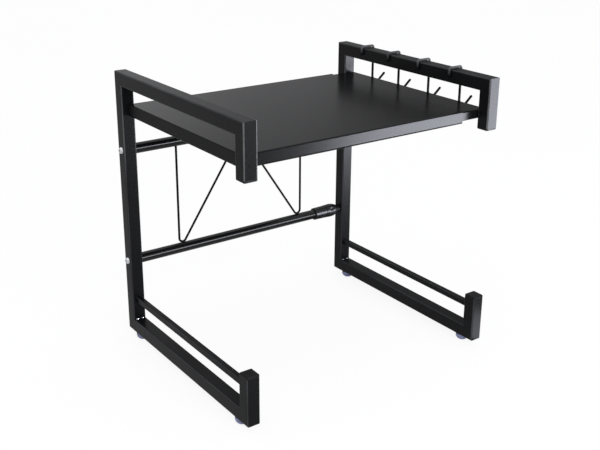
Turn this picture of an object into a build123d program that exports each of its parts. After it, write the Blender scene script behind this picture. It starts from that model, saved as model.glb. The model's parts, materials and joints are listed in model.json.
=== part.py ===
from build123d import *
import os
from math import atan2, degrees, sqrt

os.makedirs("parts", exist_ok=True)

# Whole rack, in millimetres: X across the width, Y to the rear, Z up from the floor
frame_width = 428.0  # over the outer faces of the two side frames, nearly closed
frame_depth = 345.0
rack_height = 420.0  # floor to the top of the side frames
foot_height = 10.0  # floor to the underside of the base rails

# Side frames of square tube
tube_side = 20.0
tube_wall = 1.2
tube_corner = 2.2
tube_bore_corner = 1.0
drop_past_shelf = 11.0  # lower edge of the shelf to the bottom of the drop post's plug
stub_height = 73.0  # underside of the base rail to the top of the stub post's plug
guard_side = 9.0
guard_wall = 1.0
guard_corner = 1.5
guard_bore_corner = 0.5
guard_rise = 33.4  # top of the base rail to the middle of the guard rail

# End plugs
plug_flange = 3.0
plug_depth = 10.0
plug_wall = 1.6
plug_chamfer = 1.0
plug_clearance = 0.1

# Feet
foot_radius = 10.0
foot_flat_radius = 4.0
foot_skirt = 2.5
foot_bulge = 1.65  # how far the dome stands out from a straight cone
foot_inset = 28.5  # end of the base rail to the foot's axis
stem_radius = 2.8
stem_length = 5.0
stem_clearance = 0.2

# Shelf of two folded trays
shelf_drop = 46.5  # top of the side frames to the top of the outer tray
sheet = 1.0
bend_inside = 1.0
outer_tray_gap = 29.5  # open end of the outer tray to the right posts
outer_tray_end = 10.0  # outer face of the left frame to the outer tray's closed end
outer_lip = 18.0
inner_tray_end = 3.5  # outer face of the right frame to the inner tray's closed end
inner_tray_length = 306.0
inner_lip_gap = 2.1  # lower edge of the inner tray to the outer tray's return flange
return_flange = 10.0
tray_slide_gap = 0.4
tray_end_share = 0.9  # bend at the closed end, as a share of the bend along the lips

# Tray screws, their threaded inserts in the posts and the spacers of the inner tray
screw_end_gap = 0.3  # screw head to the tray's end wall
screw_drop = 7.0  # top of the shelf to the screw's axis
screw_radius = 2.0
screw_head_radius = 3.4
screw_head_height = 2.4
screw_reach = 7.0  # face of the post to the screw's end
screw_clearance = 0.2
tray_insert_radius = 3.0
tray_insert_length = 8.0
spacer_radius = 4.0
thread_clearance = 0.05
insert_clearance = 0.05

# Rear cross tubes
upper_tube_drop = 117.2  # top of the side frames to the upper tubes' axis
lower_tube_rise = 127.0  # floor to the lower tubes' axis
outer_tube_radius = 8.0
outer_tube_wall = 1.0
inner_tube_wall = 1.0
inner_tube_length = 290.0
tube_slide_gap = 0.3
tube_insert_length = 15.0

# Twist locks on the ends of the outer cross tubes
lock_post_gap = 8.0  # end of the grip to the right rear post
lock_body_length = 23.0
lock_body_wall = 2.2
lock_body_flare = 0.4  # how far the body widens towards the grip
lock_body_chamfer = 0.6
lock_tube_depth = 16.0  # how far the outer tube reaches into the lock body
lock_fit = 0.05
neck_wall = 1.1
neck_length = 7.0
collet_length = 9.0
collet_slit = 1.5
grip_length = 23.0
grip_widest = 10.5  # mouth of the grip to its widest place
grip_groove = 1.1  # visible gap between body and grip
grip_mouth_wall = 2.3
grip_nose_wall = 0.7
grip_bulge = 0.5  # how far the widest place stands out past the mouth
grip_clearance = 0.3
scallop_count = 6
scallop_radius = 18.0
scallop_depth = 0.9

# Bolts through the rear posts
bolt_radius = 3.0
bolt_clearance = 0.2
bolt_head_radius = 5.2
bolt_head_height = 3.3
bolt_crown_radius = 2.9
bolt_socket_radius = 2.1
bolt_socket_depth = 1.8
bolt_reach = 12.0  # face of the post to the bolt's end in the tube insert

# Brace wire between the two outer cross tubes
brace_wire_radius = 1.75
brace_bend = 6.0
brace_leg_inset = 69.8  # left rear post to the first upright leg
brace_lock_gap = 29.2  # last upright leg to the lock body

# Hooks over the right top rail
hook_places = (107.6, 43.4, -25.5, -93.0)  # from the middle of the rail
hook_wire_radius = 1.9
hook_clearance = 0.3
hook_short_leg = 10.0  # top of the rail to the end of the short leg
hook_long_leg = 68.0  # top of the rail to the corner under the bowl
hook_reach = 25.0  # long leg to the tip
hook_rise = 21.5  # corner under the bowl to the tip
hook_shoulder_bend = 3.0
hook_bowl_bend = 9.5

# Places that follow from the sizes
hook_overhang = hook_clearance + 2 * hook_wire_radius + hook_reach
frame_middle_x = (bolt_head_height - hook_overhang) / 2
left_outer_x = frame_middle_x - frame_width / 2
right_outer_x = frame_middle_x + frame_width / 2
left_inner_x = left_outer_x + tube_side
right_inner_x = right_outer_x - tube_side
outer_bore_radius = outer_tube_radius - outer_tube_wall
inner_tube_radius = outer_bore_radius - tube_slide_gap
inner_bore_radius = inner_tube_radius - inner_tube_wall
lock_bore = inner_tube_radius + tube_slide_gap
neck_radius = lock_bore + neck_wall
grip_mouth_radius = neck_radius + grip_clearance + grip_mouth_wall
grip_middle_radius = grip_mouth_radius + grip_bulge
grip_overhang = max(0.0, grip_middle_radius - tube_side / 2)  # behind the rear posts
frame_middle_y = -grip_overhang / 2
rear_y = frame_middle_y + frame_depth / 2
front_y = frame_middle_y - frame_depth / 2
rear_face_y = rear_y - tube_side  # front face of the rear posts
front_face_y = front_y + tube_side  # rear face of the drop and stub posts
rear_axis_y = rear_y - tube_side / 2
front_axis_y = front_y + tube_side / 2
base_z = foot_height
shelf_height = rack_height - shelf_drop
upper_tube_height = rack_height - upper_tube_drop
lower_tube_height = lower_tube_rise
screw_z = shelf_height - screw_drop
tube_heights = {"upper": upper_tube_height, "lower": lower_tube_height}
bend_outside = bend_inside + sheet
inner_tray_inset = sheet + tray_slide_gap
inner_lip = outer_lip - inner_tray_inset - sheet - inner_lip_gap
outer_tray_length = frame_width - outer_tray_end - tube_side - outer_tray_gap
screw_inset = sheet + screw_end_gap + screw_head_radius
sides = {"left": (left_outer_x, 1), "right": (right_outer_x, -1)}
tray_ends = {"left": left_outer_x + outer_tray_end, "right": right_outer_x - inner_tray_end}


def write_piece(piece, name):
    piece.part.label = name
    export_step(piece.part, f"parts/{name}.step")


def square_ring(plane, side, wall, corner, bore_corner):
    with BuildSketch(plane) as ring:
        RectangleRounded(side, side, corner)
        RectangleRounded(side - 2 * wall, side - 2 * wall, bore_corner, mode=Mode.SUBTRACT)
    return ring.sketch


def round_ring(plane, radius, bore_radius):
    with BuildSketch(plane) as ring:
        Circle(radius)
        Circle(bore_radius, mode=Mode.SUBTRACT)
    return ring.sketch


def frame_ring(plane):
    return square_ring(plane, tube_side, tube_wall, tube_corner, tube_bore_corner)


def facing_x(x, y, z, sign=1):
    return Plane(origin=(x, y, z), x_dir=(0, sign, 0), z_dir=(sign, 0, 0))


def facing_y(x, y, z, sign=1):
    return Plane(origin=(x, y, z), x_dir=(1, 0, 0), z_dir=(0, sign, 0))


def turning_x(x, y, z, sign=1):
    # Plane of a profile that is turned about X: its first axis runs along X, its second up
    return Plane(origin=(x, y, z), x_dir=(sign, 0, 0), z_dir=(0, -sign, 0))


def mitre(corner_y, corner_z, kept_y, kept_z):
    # Cut through an outer corner of a side frame, with its normal towards the kept piece
    return Plane(origin=(0, corner_y, corner_z), x_dir=(1, 0, 0), z_dir=(0, kept_y, kept_z))


def screw_x(side):
    inward = sides[side][1]
    return tray_ends[side] + inward * screw_inset


# Side frames
for side, (outer_x, inward) in sides.items():
    tube_x = outer_x + inward * tube_side / 2

    # Rear post, with holes for the cross tube bolts and one tray insert
    with BuildPart() as rear_post:
        extrude(frame_ring(Plane((tube_x, rear_axis_y, base_z))), amount=rack_height - base_z)
        split(bisect_by=mitre(rear_y, rack_height, 1, -1), keep=Keep.TOP)
        split(bisect_by=mitre(rear_y, base_z, 1, 1), keep=Keep.TOP)
        for tube_z in tube_heights.values():
            with Locations(facing_x(outer_x, rear_axis_y, tube_z)):
                Hole(bolt_radius + bolt_clearance)
        with Locations(facing_y(screw_x(side), rear_face_y, screw_z, -1)):
            Hole(tray_insert_radius + insert_clearance, depth=2 * tube_wall)
    write_piece(rear_post, f"{side}_rear_post")

    # Top rail
    with BuildPart() as top_rail:
        rail_plane = facing_y(tube_x, front_y, rack_height - tube_side / 2)
        extrude(frame_ring(rail_plane), amount=frame_depth)
        split(bisect_by=mitre(rear_y, rack_height, -1, 1), keep=Keep.TOP)
        split(bisect_by=mitre(front_y, rack_height, 1, 1), keep=Keep.TOP)
    write_piece(top_rail, f"{side}_top_rail")

    # Drop post, hanging at the front past the shelf
    drop_end_z = shelf_height - outer_lip - drop_past_shelf + plug_flange
    with BuildPart() as drop_post:
        extrude(frame_ring(Plane((tube_x, front_axis_y, drop_end_z))), amount=rack_height - drop_end_z)
        split(bisect_by=mitre(front_y, rack_height, -1, -1), keep=Keep.TOP)
        with Locations(facing_y(screw_x(side), front_face_y, screw_z)):
            Hole(tray_insert_radius + insert_clearance, depth=2 * tube_wall)
    write_piece(drop_post, f"{side}_drop_post")

    # Base rail, with a hole for each foot's stem
    with BuildPart() as base_rail:
        rail_plane = facing_y(tube_x, front_y, base_z + tube_side / 2)
        extrude(frame_ring(rail_plane), amount=frame_depth)
        split(bisect_by=mitre(rear_y, base_z, -1, -1), keep=Keep.TOP)
        split(bisect_by=mitre(front_y, base_z, 1, -1), keep=Keep.TOP)
        for foot_y in (rear_y - foot_inset, front_y + foot_inset):
            with Locations((tube_x, foot_y, base_z)):
                Hole(stem_radius + stem_clearance, depth=tube_wall)
    write_piece(base_rail, f"{side}_base_rail")

    # Stub post, standing at the front of the base rail
    stub_end_z = base_z + stub_height - plug_flange
    with BuildPart() as stub_post:
        extrude(frame_ring(Plane((tube_x, front_axis_y, base_z))), amount=stub_end_z - base_z)
        split(bisect_by=mitre(front_y, base_z, -1, 1), keep=Keep.TOP)
    write_piece(stub_post, f"{side}_stub_post")

    # Guard rail between the rear post and the stub post
    guard_plane = facing_y(tube_x, front_face_y, base_z + tube_side + guard_rise)
    with BuildPart() as guard_rail:
        extrude(
            square_ring(guard_plane, guard_side, guard_wall, guard_corner, guard_bore_corner),
            amount=rear_face_y - front_face_y,
        )
    write_piece(guard_rail, f"{side}_guard_rail")

    # End plugs, each a bevelled cap with a hollow spigot in the tube
    spigot_side = tube_side - 2 * tube_wall - 2 * plug_clearance
    for post, end_z, outward in (("drop", drop_end_z, -1), ("stub", stub_end_z, 1)):
        end_plane = Plane(origin=(tube_x, front_axis_y, end_z), z_dir=(0, 0, outward))
        with BuildPart() as plug:
            with BuildSketch(end_plane):
                RectangleRounded(tube_side, tube_side, tube_corner)
            extrude(amount=plug_flange)
            chamfer(plug.faces().sort_by(Axis.Z, reverse=outward > 0)[0].edges(), plug_chamfer)
            extrude(
                square_ring(end_plane, spigot_side, plug_wall, tube_bore_corner, tube_bore_corner / 2),
                amount=-plug_depth,
            )
        write_piece(plug, f"{side}_{post}_plug")

    # Feet, each a clear dome with a stem in the base rail
    for place, foot_y in (("rear", rear_y - foot_inset), ("front", front_y + foot_inset)):
        with BuildPart() as foot:
            with BuildSketch(facing_y(tube_x, foot_y, 0, -1)):
                with BuildLine():
                    Line((0, 0), (foot_flat_radius, 0))
                    SagittaArc((foot_flat_radius, 0), (foot_radius, foot_height - foot_skirt), -foot_bulge)
                    Polyline(
                        (foot_radius, foot_height - foot_skirt),
                        (foot_radius, foot_height),
                        (stem_radius, foot_height),
                        (stem_radius, foot_height + stem_length),
                        (0, foot_height + stem_length),
                        (0, 0),
                    )
                make_face()
            revolve(axis=Axis((tube_x, foot_y, 0), (0, 0, 1)))
        write_piece(foot, f"{side}_{place}_foot")

# Trays, each a sheet with folded lips, return flanges and one closed end
tray_shapes = {
    "outer_tray": ("left", outer_tray_length, outer_lip, 0.0),
    "inner_tray": ("right", inner_tray_length, inner_lip, inner_tray_inset),
}
for name, (side, length, lip, inset) in tray_shapes.items():
    inward = sides[side][1]
    end_plane = facing_x(tray_ends[side], frame_middle_y, shelf_height - inset - lip / 2, inward)
    depth = rear_face_y - front_face_y - 2 * inset
    with BuildPart() as tray:
        with BuildSketch(end_plane):
            RectangleRounded(depth, lip, bend_outside)
        extrude(amount=length)
        fillet(tray.faces().sort_by(Axis.X, reverse=inward < 0)[0].edges(), bend_outside * tray_end_share)
        with BuildSketch(end_plane.offset(sheet)):
            RectangleRounded(depth - 2 * sheet, lip - 2 * sheet, bend_inside)
        extrude(amount=length, mode=Mode.SUBTRACT)
        with BuildSketch(end_plane.offset(return_flange)):
            with Locations((0, -lip / 2)):
                Rectangle(depth - 2 * return_flange, 2 * sheet)
        extrude(amount=length, mode=Mode.SUBTRACT)
        for facing in (1, -1):
            with Locations(facing_y(screw_x(side), frame_middle_y + facing * depth / 2, screw_z, facing)):
                Hole(screw_radius + screw_clearance, depth=sheet)
    write_piece(tray, name)

# Tray screws and the inserts that they reach into, at the rear post and the drop post
from_plane = (Align.CENTER, Align.CENTER, Align.MIN)
behind_plane = (Align.CENTER, Align.CENTER, Align.MAX)
for side, lip_inset in (("left", 0.0), ("right", inner_tray_inset)):
    post_faces = ((rear_face_y, 1), (front_face_y, -1))
    grip_depth = sheet + lip_inset  # from the screw head's seat to the face of the post
    with BuildPart() as screws:
        for face_y, into in post_faces:
            with Locations(facing_y(screw_x(side), face_y - into * grip_depth, screw_z, into)):
                Cylinder(screw_radius, grip_depth + screw_reach, align=from_plane)
                Cylinder(screw_head_radius, screw_head_height, align=behind_plane)
    write_piece(screws, f"{side}_tray_screws")

    with BuildPart() as inserts:
        for face_y, into in post_faces:
            insert_plane = facing_y(screw_x(side), face_y, screw_z, into)
            extrude(
                round_ring(insert_plane, tray_insert_radius, screw_radius + thread_clearance),
                amount=tray_insert_length,
            )
    write_piece(inserts, f"{side}_tray_inserts")

# Spacers between the inner tray's lips and the right posts
with BuildPart() as spacers:
    for face_y, into in ((rear_face_y, -1), (front_face_y, 1)):
        spacer_plane = facing_y(screw_x("right"), face_y, screw_z, into)
        spacer_ring = round_ring(spacer_plane, spacer_radius, screw_radius + screw_clearance)
        extrude(spacer_ring, amount=inner_tray_inset)
write_piece(spacers, "right_tray_spacers")

# Rear cross tubes with their twist locks
lock_x = right_inner_x - lock_post_gap - grip_length - grip_groove - lock_body_length
neck_end_x = lock_x + lock_body_length + neck_length
grip_x = lock_x + lock_body_length + grip_groove
grip_nose_bore = lock_bore + grip_clearance
grip_nose_radius = grip_nose_bore + grip_nose_wall
for level, tube_z in tube_heights.items():
    axis = Axis((0, rear_axis_y, tube_z), (1, 0, 0))

    # Outer tube, from the left post into the lock body
    with BuildPart() as outer_tube:
        outer_tube_plane = facing_x(left_inner_x, rear_axis_y, tube_z)
        extrude(
            round_ring(outer_tube_plane, outer_tube_radius, outer_bore_radius),
            amount=lock_x + lock_tube_depth - left_inner_x,
        )
    write_piece(outer_tube, f"{level}_outer_tube")

    # Inner tube, from the right post into the outer tube
    with BuildPart() as inner_tube:
        inner_tube_plane = facing_x(right_inner_x, rear_axis_y, tube_z, -1)
        extrude(round_ring(inner_tube_plane, inner_tube_radius, inner_bore_radius), amount=inner_tube_length)
    write_piece(inner_tube, f"{level}_inner_tube")

    # Lock body, a sleeve that widens towards the grip, with a neck that the grip turns on
    body_radius = outer_tube_radius + lock_fit + lock_body_wall
    with BuildPart() as lock_body:
        with BuildSketch(turning_x(lock_x, rear_axis_y, tube_z)):
            with BuildLine():
                Polyline(
                    (0, outer_tube_radius + lock_fit),
                    (0, body_radius - lock_body_chamfer),
                    (lock_body_chamfer, body_radius),
                    (lock_body_length, body_radius + lock_body_flare),
                    (lock_body_length, neck_radius),
                    (lock_body_length + neck_length, neck_radius),
                    (lock_body_length + neck_length, lock_bore),
                    (lock_tube_depth, lock_bore),
                    (lock_tube_depth, outer_tube_radius + lock_fit),
                    close=True,
                )
            make_face()
        revolve(axis=axis)
    write_piece(lock_body, f"{level}_lock_body")

    # Collet, a split ring that clamps the inner tube
    with BuildPart() as collet:
        extrude(
            round_ring(facing_x(neck_end_x, rear_axis_y, tube_z), neck_radius, lock_bore),
            amount=collet_length,
        )
        with BuildSketch(facing_x(neck_end_x, rear_axis_y, tube_z)):
            with Locations((0, neck_radius)):
                Rectangle(collet_slit, 2 * neck_radius)
        extrude(amount=collet_length, mode=Mode.SUBTRACT)
    write_piece(collet, f"{level}_lock_collet")

    # Grip, a bulged nut with finger scallops
    cavity_depth = neck_end_x + collet_length + grip_clearance - grip_x
    with BuildPart() as grip:
        with BuildSketch(turning_x(grip_x, rear_axis_y, tube_z)):
            with BuildLine():
                widest = (grip_widest, grip_middle_radius)
                TangentArc(widest, (0, grip_mouth_radius), tangent=(-1, 0))
                TangentArc(widest, (grip_length, grip_nose_radius), tangent=(1, 0))
                Polyline(
                    (grip_length, grip_nose_radius),
                    (grip_length, grip_nose_bore),
                    (cavity_depth, grip_nose_bore),
                    (cavity_depth, neck_radius + grip_clearance),
                    (0, neck_radius + grip_clearance),
                    (0, grip_mouth_radius),
                )
            make_face()
        revolve(axis=axis)
        with Locations(facing_x(grip_x + grip_widest, rear_axis_y, tube_z)):
            scallop_ring = grip_middle_radius + scallop_radius - scallop_depth
            with PolarLocations(scallop_ring, scallop_count, start_angle=180 / scallop_count):
                Sphere(scallop_radius, mode=Mode.SUBTRACT)
    write_piece(grip, f"{level}_lock_grip")

# Bolts through the rear posts, and the threaded inserts in the tube ends that they reach into
bores = {"left": outer_bore_radius, "right": inner_bore_radius}
for side, (outer_x, inward) in sides.items():
    shank = tube_side + bolt_reach
    with BuildPart() as bolts:
        for tube_z in tube_heights.values():
            with BuildSketch(turning_x(outer_x, rear_axis_y, tube_z, -inward)):
                with BuildLine():
                    Polyline((bolt_head_height, 0), (-shank, 0), (-shank, bolt_radius), (0, bolt_radius))
                    Line((0, bolt_radius), (0, bolt_head_radius))
                    RadiusArc(
                        (0, bolt_head_radius),
                        (bolt_head_height, bolt_crown_radius),
                        bolt_head_radius,
                    )
                    Line((bolt_head_height, bolt_crown_radius), (bolt_head_height, 0))
                make_face()
            revolve(axis=Axis((0, rear_axis_y, tube_z), (1, 0, 0)))
            with BuildSketch(facing_x(outer_x - inward * bolt_head_height, rear_axis_y, tube_z, inward)):
                RegularPolygon(bolt_socket_radius, 6)
            extrude(amount=bolt_socket_depth, mode=Mode.SUBTRACT)
    write_piece(bolts, f"{side}_post_bolts")

    with BuildPart() as tube_inserts:
        for tube_z in tube_heights.values():
            insert_plane = facing_x(outer_x + inward * tube_side, rear_axis_y, tube_z, inward)
            extrude(
                round_ring(insert_plane, bores[side] - insert_clearance, bolt_radius + thread_clearance),
                amount=tube_insert_length,
            )
    write_piece(tube_inserts, f"{side}_tube_inserts")

# Brace wire: upright leg, bend on the lower tube, diagonal, bend under the upper tube, and the same mirrored
brace_leg_x = left_inner_x + brace_leg_inset
brace_span = lock_x - brace_lock_gap - brace_leg_x
brace_middle_x = brace_leg_x + brace_span / 2
brace_low_z = lower_tube_height + outer_tube_radius + brace_wire_radius + brace_bend
brace_high_z = upper_tube_height - outer_tube_radius - brace_wire_radius - brace_bend
bend_run = brace_span / 2 - brace_bend  # from the lower bend's centre to the upper bend's centre
bend_climb = brace_high_z - brace_low_z
diagonal_length = sqrt(bend_run**2 + bend_climb**2 - 4 * brace_bend**2)
diagonal_slope = degrees(atan2(bend_climb, bend_run) + atan2(2 * brace_bend, diagonal_length))
with BuildPart() as brace_wire:
    with BuildLine(facing_y(0, rear_axis_y, 0, -1)):
        leg = Line((brace_leg_x, upper_tube_height - outer_tube_radius), (brace_leg_x, brace_low_z))
        lower_bend = JernArc(leg @ 1, leg % 1, brace_bend, 90 + diagonal_slope)
        diagonal = Line(lower_bend @ 1, (lower_bend @ 1) + (lower_bend % 1) * diagonal_length)
        JernArc(diagonal @ 1, diagonal % 1, brace_bend, -diagonal_slope)
        mirror(about=facing_x(brace_middle_x, rear_axis_y, 0))
    with BuildSketch(Plane(origin=leg @ 0, z_dir=leg % 0)):
        Circle(brace_wire_radius)
    sweep()
write_piece(brace_wire, "brace_wire")

# Hooks: a short leg inside the rail, a saddle over it, a long leg outside it and an open bowl
saddle_gap = hook_clearance + hook_wire_radius
short_x = right_inner_x - saddle_gap
long_x = right_outer_x + saddle_gap
bowl_z = rack_height - hook_long_leg
for number, hook_place in enumerate(hook_places, start=1):
    hook_y = frame_middle_y + hook_place
    hook_start = (short_x, rack_height - hook_short_leg)
    hook_tip = (long_x + hook_reach, bowl_z + hook_rise)
    with BuildPart() as hook:
        with BuildLine(facing_y(0, hook_y, 0, -1)) as hook_path:
            FilletPolyline(
                hook_start,
                (short_x, rack_height + saddle_gap),
                (long_x, rack_height + saddle_gap),
                (long_x, bowl_z),
                hook_tip,
                radius=(hook_shoulder_bend, hook_shoulder_bend, hook_bowl_bend),
            )
        with BuildSketch(Plane(origin=(short_x, hook_y, hook_start[1]), z_dir=(0, 0, 1))):
            Circle(hook_wire_radius)
        sweep()
        with Locations((hook_start[0], hook_y, hook_start[1]), (hook_tip[0], hook_y, hook_tip[1])):
            Sphere(hook_wire_radius)
    write_piece(hook, f"hook_{number}")
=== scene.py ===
import json
import math
import bmesh
import bpy
from mathutils import Matrix, Vector


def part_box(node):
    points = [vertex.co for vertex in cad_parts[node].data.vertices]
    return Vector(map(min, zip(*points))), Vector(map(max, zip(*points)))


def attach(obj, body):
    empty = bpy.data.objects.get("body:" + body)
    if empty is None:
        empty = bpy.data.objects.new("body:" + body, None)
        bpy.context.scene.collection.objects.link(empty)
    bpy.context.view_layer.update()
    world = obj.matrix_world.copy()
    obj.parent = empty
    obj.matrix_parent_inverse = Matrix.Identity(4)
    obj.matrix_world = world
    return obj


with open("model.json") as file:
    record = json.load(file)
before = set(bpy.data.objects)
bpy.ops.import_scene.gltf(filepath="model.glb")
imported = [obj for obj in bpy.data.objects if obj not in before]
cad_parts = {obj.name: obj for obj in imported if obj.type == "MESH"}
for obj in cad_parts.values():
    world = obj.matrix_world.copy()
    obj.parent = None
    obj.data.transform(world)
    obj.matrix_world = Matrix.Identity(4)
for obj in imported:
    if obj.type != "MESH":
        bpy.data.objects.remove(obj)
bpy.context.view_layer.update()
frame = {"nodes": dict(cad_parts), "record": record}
nodes = frame["nodes"]
print("frame loaded with", len(nodes), "nodes")


# Node helpers
noiseSpan = (0.3, 0.7)  # the values that noise mostly takes
mixFirst, mixSecond, mixResult = 6, 7, 2  # colour sockets of the Mix node


def startMaterial(name):
    material = bpy.data.materials.new(name)
    material.use_nodes = True
    tree = material.node_tree
    return material, tree, tree.nodes["Principled BSDF"]


def addNode(tree, kind, inputs=None, **settings):
    node = tree.nodes.new(kind)
    for key, value in settings.items():
        setattr(node, key, value)
    for key, value in (inputs or {}).items():
        if isinstance(value, bpy.types.NodeSocket):
            tree.links.new(value, node.inputs[key])
        else:
            node.inputs[key].default_value = value
    return node


def objectPlace(tree, scale=(1.0, 1.0, 1.0)):
    place = addNode(tree, "ShaderNodeTexCoord")
    stretch = addNode(tree, "ShaderNodeMapping", {"Vector": place.outputs["Object"], "Scale": scale})
    return stretch.outputs["Vector"]


def grainNoise(tree, place, size, detail):
    noise = addNode(tree, "ShaderNodeTexNoise", {"Vector": place, "Scale": 1.0 / size, "Detail": detail})
    return noise.outputs["Fac"]


# The span of a value, stretched to run from low to high
def spread(tree, value, low, high, span=noiseSpan):
    start, stop = span
    ranged = addNode(tree, "ShaderNodeMapRange",
                     {"Value": value, "From Min": start, "From Max": stop, "To Min": low, "To Max": high})
    return ranged.outputs["Result"]


def blendColours(tree, value, dark, light):
    ramp = addNode(tree, "ShaderNodeValToRGB", {"Fac": value})
    for end, spot, colour in zip(ramp.color_ramp.elements, noiseSpan, (dark, light)):
        end.position = spot
        end.color = (*colour, 1.0)
    return ramp.outputs["Color"]


def twoValues(tree, kind, first, second):
    return addNode(tree, "ShaderNodeMath", {0: first, 1: second}, operation=kind).outputs[0]


def mixColours(tree, value, colour, other):
    mixed = addNode(tree, "ShaderNodeMix", {0: value}, data_type="RGBA")
    tree.links.new(colour, mixed.inputs[mixFirst])
    mixed.inputs[mixSecond].default_value = (*other, 1.0)
    return mixed.outputs[mixResult]


# How far up between two heights a point is
def heightShare(tree, heights):
    place = addNode(tree, "ShaderNodeTexCoord")
    split = addNode(tree, "ShaderNodeSeparateXYZ", {"Vector": place.outputs["Object"]})
    return spread(tree, split.outputs["Z"], 0.0, 1.0, heights)


# How squarely a surface faces along X, Y and Z
def facing(tree):
    place = addNode(tree, "ShaderNodeTexCoord")
    size = addNode(tree, "ShaderNodeVectorMath", {0: place.outputs["Normal"]}, operation="ABSOLUTE")
    split = addNode(tree, "ShaderNodeSeparateXYZ", {"Vector": size.outputs["Vector"]})
    return [split.outputs[axis] for axis in ("X", "Y", "Z")]


# How squarely a surface faces right, below zero where it faces left
def rightShare(tree):
    place = addNode(tree, "ShaderNodeTexCoord")
    return addNode(tree, "ShaderNodeSeparateXYZ", {"Vector": place.outputs["Normal"]}).outputs["X"]


cornerSpans = {"any": (0.86, 0.99), "upright": (0.15, 0.45)}


# How far a surface is a rounded corner of square tube: any corner, and an upright one
def cornerMasks(tree, spans):
    across, along, up = facing(tree)
    most = twoValues(tree, "MAXIMUM", twoValues(tree, "MAXIMUM", across, along), up)
    least = twoValues(tree, "MINIMUM", across, along)
    return spread(tree, most, 1.0, 0.0, spans["any"]), spread(tree, least, 0.0, 1.0, spans["upright"])


coatDetail = {
    "cloud": 3.0, "peel": 2.0, "fleck": 1.0,  # noise detail
    "leastPaintedHighlight": 0.4,  # share of the painted highlight left where it is patchy
    "lipSpan": (0.2, 0.6),  # how far a face turns from upright, a lip, to level, the shelf
}


# Powder coat, paint and moulded plastic: fine orange peel, faint clouds in colour and gloss, painted
# highlights on corners and hook tops
def coatedSteel(name, look):
    material, tree, skin = startMaterial(name)
    place = objectPlace(tree)
    cloud, peel, fleck = (grainNoise(tree, place, look[f"{kind}Size"], coatDetail[kind])
                          for kind in ("cloud", "peel", "fleck"))
    colour = blendColours(tree, cloud, look["dark"], look["light"])
    highlightPatches = spread(tree, cloud, coatDetail["leastPaintedHighlight"], 1.0)
    # painted highlight: rounded corners lighter, upright corners lighter still between two heights, in
    # patches
    if "corner" in look:
        corner, upright = cornerMasks(tree, cornerSpans)
        paintedUprightHighlight = twoValues(tree, "MULTIPLY", upright, heightShare(tree, look["paintedUprightHighlightHeights"]))
        colour = mixColours(tree, twoValues(tree, "MULTIPLY", corner, highlightPatches), colour, look["corner"])
        colour = mixColours(tree, twoValues(tree, "MULTIPLY", paintedUprightHighlight, highlightPatches), colour, look["paintedUprightHighlight"])
    # painted highlight on the hook tops, between two heights
    if "paintedTopHighlight" in look:
        paintedTopHighlight = twoValues(tree, "MULTIPLY", heightShare(tree, look["paintedTopHighlightHeights"]), highlightPatches)
        colour = mixColours(tree, paintedTopHighlight, colour, look["paintedTopHighlight"])
    tree.links.new(colour, skin.inputs["Base Color"])
    roughness = spread(tree, fleck, look["glossy"], look["dull"])
    if "sideDull" in look:
        left, right = look["sideDull"]
        for least in (-left, right):
            side = twoValues(tree, "MULTIPLY", rightShare(tree), least)
            roughness = twoValues(tree, "MAXIMUM", roughness, side)
    tree.links.new(roughness, skin.inputs["Roughness"])
    strength = look["peelStrength"]
    if "lipStrength" in look:
        level = facing(tree)[2]
        strength = spread(tree, level, look["lipStrength"], strength, coatDetail["lipSpan"])
    bump = addNode(tree, "ShaderNodeBump",
                   {"Height": peel, "Strength": strength, "Distance": look["peelHeight"]})
    if "edgeHeights" in look:
        bump = addNode(tree, "ShaderNodeBump",
                       {"Height": heightShare(tree, look["edgeHeights"]), "Strength": 1.0,
                        "Distance": look["edgeDepth"], "Normal": bump.outputs["Normal"]})
    tree.links.new(bump.outputs["Normal"], skin.inputs["Normal"])
    skin.inputs["Specular IOR Level"].default_value = look["shine"]
    return material


framePaintLook = {
    "dark": (0.0048, 0.0049, 0.0055), "light": (0.0068, 0.007, 0.0078),  # near black, slightly cool
    "glossy": 0.27, "dull": 0.31, "shine": 0.09,
    "sideDull": (0.0, 0.52),  # least roughness of faces to the left and to the right
    # painted highlights: lighter corners, stronger on upright corners between these heights
    "corner": (0.045, 0.046, 0.05), "paintedUprightHighlight": (0.1, 0.101, 0.106), "paintedUprightHighlightHeights": (0.24, 0.34),
    "cloudSize": 0.06, "peelSize": 0.0016, "fleckSize": 0.004,
    "peelStrength": 0.04, "peelHeight": 0.0002,
}
framePaint = coatedSteel("frame powder coat", framePaintLook)

trayPaintLook = {
    "dark": (0.0042, 0.0043, 0.0047), "light": (0.0062, 0.0064, 0.0068),
    "glossy": 0.21, "dull": 0.23, "sideDull": (0.5, 0.5), "shine": 0.115,
    "cloudSize": 0.09, "peelSize": 0.0014, "fleckSize": 0.004,
    "peelStrength": 0.03, "lipStrength": 0.12, "peelHeight": 0.0002,
    "edgeHeights": (0.3555, 0.358), "edgeDepth": 0.005,  # eased lower edge of the lips
}
trayPaint = coatedSteel("tray powder coat", trayPaintLook)

tubePaintLook = {
    "dark": (0.0045, 0.0045, 0.005), "light": (0.0065, 0.0065, 0.007),
    "glossy": 0.09, "dull": 0.1, "shine": 0.25,
    "cloudSize": 0.05, "peelSize": 0.004, "fleckSize": 0.006,
    "peelStrength": 0.0005, "peelHeight": 0.0001,
}
tubePaint = coatedSteel("cross tube gloss paint", tubePaintLook)

wirePaintLook = {
    "dark": (0.0035, 0.0035, 0.004), "light": (0.0055, 0.0055, 0.006),
    "glossy": 0.5, "dull": 0.58, "shine": 0.05,
    "cloudSize": 0.03, "peelSize": 0.0012, "fleckSize": 0.003,
    "peelStrength": 0.02, "peelHeight": 0.0001,
}
wirePaint = coatedSteel("wire powder coat", wirePaintLook)

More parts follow.
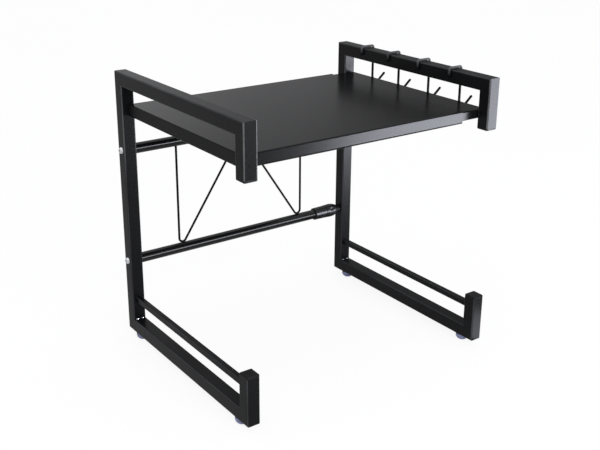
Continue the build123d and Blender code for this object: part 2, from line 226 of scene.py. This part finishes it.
hookPaintLook = {  # painted highlight along the tops of the hooks over the rail
    **wirePaintLook, "paintedTopHighlight": (0.12, 0.122, 0.128), "paintedTopHighlightHeights": (0.411, 0.423),
}
hookPaint = coatedSteel("hook powder coat", hookPaintLook)

plugLook = {
    "dark": (0.006, 0.006, 0.0068), "light": (0.0095, 0.0095, 0.0105),
    "glossy": 0.42, "dull": 0.5, "shine": 0.12,
    "cloudSize": 0.02, "peelSize": 0.0007, "fleckSize": 0.0015,
    "peelStrength": 0.3, "peelHeight": 0.0002,
}
plugPlastic = coatedSteel("plug moulded plastic", plugLook)

lockLook = {
    "dark": (0.005, 0.005, 0.0057), "light": (0.0078, 0.0078, 0.0086),
    "glossy": 0.26, "dull": 0.34, "shine": 0.25,
    "cloudSize": 0.02, "peelSize": 0.0009, "fleckSize": 0.002,
    "peelStrength": 0.15, "peelHeight": 0.0002,
}
lockPlastic = coatedSteel("lock moulded plastic", lockLook)

zincLook = {
    "dark": (0.66, 0.67, 0.70), "light": (0.88, 0.89, 0.92),
    "glossy": 0.22, "dull": 0.42,
    "brushSize": 0.0008, "brushStretch": (1.0, 1.0, 0.2), "brushDetail": 2.0,
    "cloudSize": 0.004, "cloudDetail": 3.0,
}


def zincPlate(name, look):
    material, tree, skin = startMaterial(name)
    stretched = objectPlace(tree, look["brushStretch"])
    brushed = grainNoise(tree, stretched, look["brushSize"], look["brushDetail"])
    cloud = grainNoise(tree, objectPlace(tree), look["cloudSize"], look["cloudDetail"])
    tree.links.new(blendColours(tree, cloud, look["dark"], look["light"]), skin.inputs["Base Color"])
    tree.links.new(spread(tree, brushed, look["glossy"], look["dull"]), skin.inputs["Roughness"])
    skin.inputs["Metallic"].default_value = 1.0
    return material


zinc = zincPlate("zinc plate", zincLook)
# a darker copy of the zinc for the right-hand weld spots: painted shade
shadedZincLook = {**zincLook, "dark": (0.16, 0.165, 0.18), "light": (0.26, 0.265, 0.28)}
shadedZinc = zincPlate("shaded zinc", shadedZincLook)

footLook = {
    "dark": (0.14, 0.15, 0.29), "light": (0.21, 0.23, 0.38),
    "glossy": 0.22, "dull": 0.34, "clear": 0.12, "ior": 1.42,
    "cloudSize": 0.006, "cloudDetail": 2.0,
}


def clearFoot(name, look):
    material, tree, skin = startMaterial(name)
    cloud = grainNoise(tree, objectPlace(tree), look["cloudSize"], look["cloudDetail"])
    tree.links.new(blendColours(tree, cloud, look["dark"], look["light"]), skin.inputs["Base Color"])
    tree.links.new(spread(tree, cloud, look["glossy"], look["dull"]), skin.inputs["Roughness"])
    skin.inputs["Transmission Weight"].default_value = look["clear"]
    skin.inputs["IOR"].default_value = look["ior"]
    return material


footClear = clearFoot("clear foot", footLook)
print("materials made")

# Every CAD node takes the finish of its record slot
finishes = {
    "frame_paint": framePaint, "tray_paint": trayPaint, "tube_paint": tubePaint, "wire_paint": wirePaint,
    "plug_plastic": plugPlastic, "lock_plastic": lockPlastic, "zinc": zinc, "foot_clear": footClear,
}
for part in frame["record"]["subparts"]:
    mesh = nodes[part["node"]].data
    mesh.materials.clear()
    hook = part["node"].startswith("hook_")
    mesh.materials.append(hookPaint if hook else finishes[part["material_slot"]])
print("finishes put on", len(nodes), "nodes")

# Bare weld spots in the inner corner of each rear post and base rail
weldLook = {
    "long": 0.0044, "thick": 0.0032, "apart": 0.0088,  # metres
    "ripples": 3.0, "rippleDepth": 0.12, "fineness": 3,
    # the right-hand spots take the zinc copy darkened as painted shade
    "sides": {"left": zinc, "right": shadedZinc},
}


def makeWelds(side, metal, look):
    post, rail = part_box(f"{side}_rear_post"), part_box(f"{side}_base_rail")
    middle = Vector(((post[0][0] + post[1][0]) / 2, post[0][1], rail[1][2]))
    shape = bmesh.new()
    for step in (-0.5, 0.5):
        spot = bmesh.ops.create_icosphere(shape, subdivisions=look["fineness"], radius=0.5)["verts"]
        for vert in spot:
            ripple = 1.0 + look["rippleDepth"] * math.cos(vert.co.x * 2.0 * math.pi * look["ripples"])
            vert.co.y *= ripple
            vert.co.z *= ripple
        bmesh.ops.scale(shape, verts=spot, vec=(look["long"], look["thick"], look["thick"]))
        bmesh.ops.translate(shape, verts=spot, vec=middle + Vector((step * look["apart"], 0.0, 0.0)))
    mesh = bpy.data.meshes.new(f"{side}_weld_spots")
    shape.to_mesh(mesh)
    shape.free()
    mesh.shade_smooth()
    mesh.materials.append(metal)
    welds = bpy.data.objects.new(f"{side}_weld_spots", mesh)
    bpy.context.scene.collection.objects.link(welds)
    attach(welds, f"{side}_side")


for side, metal in weldLook["sides"].items():
    makeWelds(side, metal, weldLook)
print("weld spots made")

# Floor, world and lights: the floor and world are plain white to the camera
floorLook = {
    "size": 14.0, "segments": 2, "rough": 0.9,
    "dark": (0.90, 0.90, 0.90), "light": (0.93, 0.93, 0.93), "cloudSize": 0.8, "cloudDetail": 2.0,
    "whiteShare": 0.9,  # how much of the floor, as it is seen, is plain white; the rest shows the shadow
    "mirrored": 0.56,  # how bright that white is in reflections
}


def makeFloor(look):
    shape = bmesh.new()
    cells = look["segments"]
    bmesh.ops.create_grid(shape, x_segments=cells, y_segments=cells, size=look["size"])
    mesh = bpy.data.meshes.new("floor")
    shape.to_mesh(mesh)
    shape.free()
    floor = bpy.data.objects.new("floor", mesh)
    bpy.context.scene.collection.objects.link(floor)
    material, tree, skin = startMaterial("pale floor")
    cloud = grainNoise(tree, objectPlace(tree), look["cloudSize"], look["cloudDetail"])
    tree.links.new(blendColours(tree, cloud, look["dark"], look["light"]), skin.inputs["Base Color"])
    skin.inputs["Roughness"].default_value = look["rough"]
    skin.inputs["Specular IOR Level"].default_value = 0.0
    ray = addNode(tree, "ShaderNodeLightPath")
    seen = ray.outputs["Is Camera Ray"]
    for kind in ("Is Glossy Ray", "Is Transmission Ray"):
        seen = twoValues(tree, "MAXIMUM", seen, ray.outputs[kind])
    share = twoValues(tree, "MULTIPLY", seen, look["whiteShare"])
    level = spread(tree, ray.outputs["Is Glossy Ray"], 1.0, look["mirrored"], (0.0, 1.0))
    white = addNode(tree, "ShaderNodeEmission", {"Strength": level})
    mixed = addNode(tree, "ShaderNodeMixShader",
                    {0: share, 1: skin.outputs["BSDF"], 2: white.outputs["Emission"]})
    tree.links.new(mixed.outputs["Shader"], tree.nodes["Material Output"].inputs["Surface"])
    mesh.materials.append(material)


makeFloor(floorLook)

worldLook = {  # brightness from straight down, 0, over the horizon, 0.5, to straight up, 1
    "left": ((0.0, 0.7), (0.5, 0.74), (0.54, 0.78), (0.575, 0.82), (0.61, 0.8), (0.66, 0.7), (0.72, 0.64),
             (0.775, 0.55), (0.875, 1.1), (1.0, 1.3)),
    "right": ((0.0, 0.7), (0.5, 0.7), (0.52, 0.6), (0.55, 0.4), (0.59, 0.24), (0.62, 0.11), (0.65, 0.07),
              (0.69, 0.3), (0.75, 0.4), (0.875, 1.1), (1.0, 1.3)),
    "turn": ((0.71, 0.0), (0.75, 0.45), (0.79, 0.6), (0.81, 0.82), (0.835, 1.0)),  # left is 0, right is 1
    "tint": (0.975, 0.98, 1.0),
}


def stopRamp(tree, value, stops, tint=(1.0, 1.0, 1.0)):
    ramp = addNode(tree, "ShaderNodeValToRGB", {"Fac": value})
    ends = ramp.color_ramp.elements
    while len(ends) < len(stops):
        ends.new(0.5)
    for end, (spot, level) in zip(ends, stops):
        end.position = spot
        end.color = (*(level * part for part in tint), 1.0)
    return ramp.outputs["Color"]


def makeWorld(look):
    world = bpy.data.worlds.new("studio")
    bpy.context.scene.world = world
    world.use_nodes = True
    tree = world.node_tree
    place = addNode(tree, "ShaderNodeTexCoord")
    split = addNode(tree, "ShaderNodeSeparateXYZ", {"Vector": place.outputs["Generated"]})
    across, height = (spread(tree, split.outputs[axis], 0.0, 1.0, (-1.0, 1.0)) for axis in ("X", "Z"))
    both = addNode(tree, "ShaderNodeMix", {0: stopRamp(tree, across, look["turn"])}, data_type="RGBA")
    for side, socket in (("left", mixFirst), ("right", mixSecond)):
        tree.links.new(stopRamp(tree, height, look[side], look["tint"]), both.inputs[socket])
    ray = addNode(tree, "ShaderNodeLightPath")
    seen = mixColours(tree, ray.outputs["Is Camera Ray"], both.outputs[mixResult], (1.0, 1.0, 1.0))
    tree.links.new(seen, tree.nodes["Background"].inputs["Color"])


makeWorld(worldLook)

crossTubes = ("upper_outer_tube", "lower_outer_tube", "upper_inner_tube", "lower_inner_tube")
lowRight = ("right_base_rail", "right_guard_rail", "right_stub_post", "right_stub_plug")
# Size across and up in metres, glow as the brightness of its face; with lights off, it is only mirrored
softboxes = {
    "right front box": {"place": (0.755, -0.64, 0.21), "aim": (0.043, -0.094, 0.83), "size": (0.68, 0.50),
                        "glow": 25.0, "tint": (0.88, 0.90, 1.0), "lights": False,
                        "leavesOut": crossTubes + lowRight},
    "far front box": {"place": (1.02, -2.0, 0.36), "aim": (0.0, 0.165, 0.16), "size": (1.0, 0.66),
                      "glow": 12.0, "tint": (0.92, 0.94, 1.0), "lights": False,
                      "onlyOn": crossTubes},
    "floor panel": {"place": (0.65, -0.42, 0.005), "aim": (0.65, -0.42, 1.0), "size": (0.40, 0.65),
                    "glow": 5.0, "tint": (0.88, 0.90, 1.0)},
    "stub panel": {"place": (0.24, -0.21, 0.004), "aim": (0.24, -0.21, 1.0), "size": (0.08, 0.08),
                   "glow": 4.7, "tint": (0.88, 0.90, 1.0)},
    "front fill": {"place": (-0.3, -2.6, 1.4), "aim": (0.0, 0.0, 0.2), "size": (2.0, 1.5),
                   "glow": 6.0, "tint": (1.0, 1.0, 1.0), "mirrored": False},
}


def makeSoftbox(name, look):
    lamp = bpy.data.lights.new(name, "AREA")
    lamp.shape = "RECTANGLE"
    lamp.size, lamp.size_y = look["size"]
    lamp.energy = look["glow"] * math.pi * lamp.size * lamp.size_y
    lamp.color = look["tint"]
    holder = bpy.data.objects.new(name, lamp)
    bpy.context.scene.collection.objects.link(holder)
    holder.location = look["place"]
    away = Vector(look["place"]) - Vector(look["aim"])
    holder.rotation_euler = away.to_track_quat("Z", "Y").to_euler()
    holder.visible_camera = False
    holder.visible_glossy = look.get("mirrored", True)
    holder.visible_diffuse = look.get("lights", True)
    for key, state in (("leavesOut", "EXCLUDE"), ("onlyOn", "INCLUDE")):
        if key in look:
            linked = bpy.data.collections.new(f"{name} {key}")
            for node in look[key]:
                linked.objects.link(nodes[node])
            for item in linked.collection_objects:
                item.light_linking.link_state = state
            holder.light_linking.receiver_collection = linked


for name, look in softboxes.items():
    makeSoftbox(name, look)
print("floor, world and lights ready")

# Camera, solved on the corners of the side frames
cameraLook = {
    "focalPixels": 934.722, "frameWidth": 600.0, "sensor": 36.0,
    "turn": -35.912, "rise": 19.526, "roll": 0.392,  # degrees
    "target": (-0.020553, -0.0006, 0.239288), "distance": 1.382598,
    "shiftPixels": -30.0, "clip": (0.05, 60.0),
}


def makeCamera(look):
    lens = bpy.data.cameras.new("photo camera")
    lens.sensor_width = look["sensor"]
    lens.sensor_fit = "HORIZONTAL"
    lens.lens = look["focalPixels"] * look["sensor"] / look["frameWidth"]
    lens.shift_y = look["shiftPixels"] / look["frameWidth"]
    lens.clip_start, lens.clip_end = look["clip"]
    camera = bpy.data.objects.new("photo camera", lens)
    bpy.context.scene.collection.objects.link(camera)
    turn, rise, roll = (math.radians(look[key]) for key in ("turn", "rise", "roll"))
    back = Vector((math.sin(turn) * math.cos(rise), -math.cos(turn) * math.cos(rise), math.sin(rise)))
    right = (-back).cross(Vector((0, 0, 1))).normalized()
    up = right.cross(-back)
    tiltedRight = right * math.cos(roll) + up * math.sin(roll)
    tiltedUp = up * math.cos(roll) - right * math.sin(roll)
    pose = Matrix((tiltedRight, tiltedUp, back)).transposed().to_4x4()
    pose.translation = Vector(look["target"]) + back * look["distance"]
    camera.matrix_world = pose
    bpy.context.scene.camera = camera


makeCamera(cameraLook)
bpy.context.scene.view_settings.view_transform = "Standard"
print("camera placed")
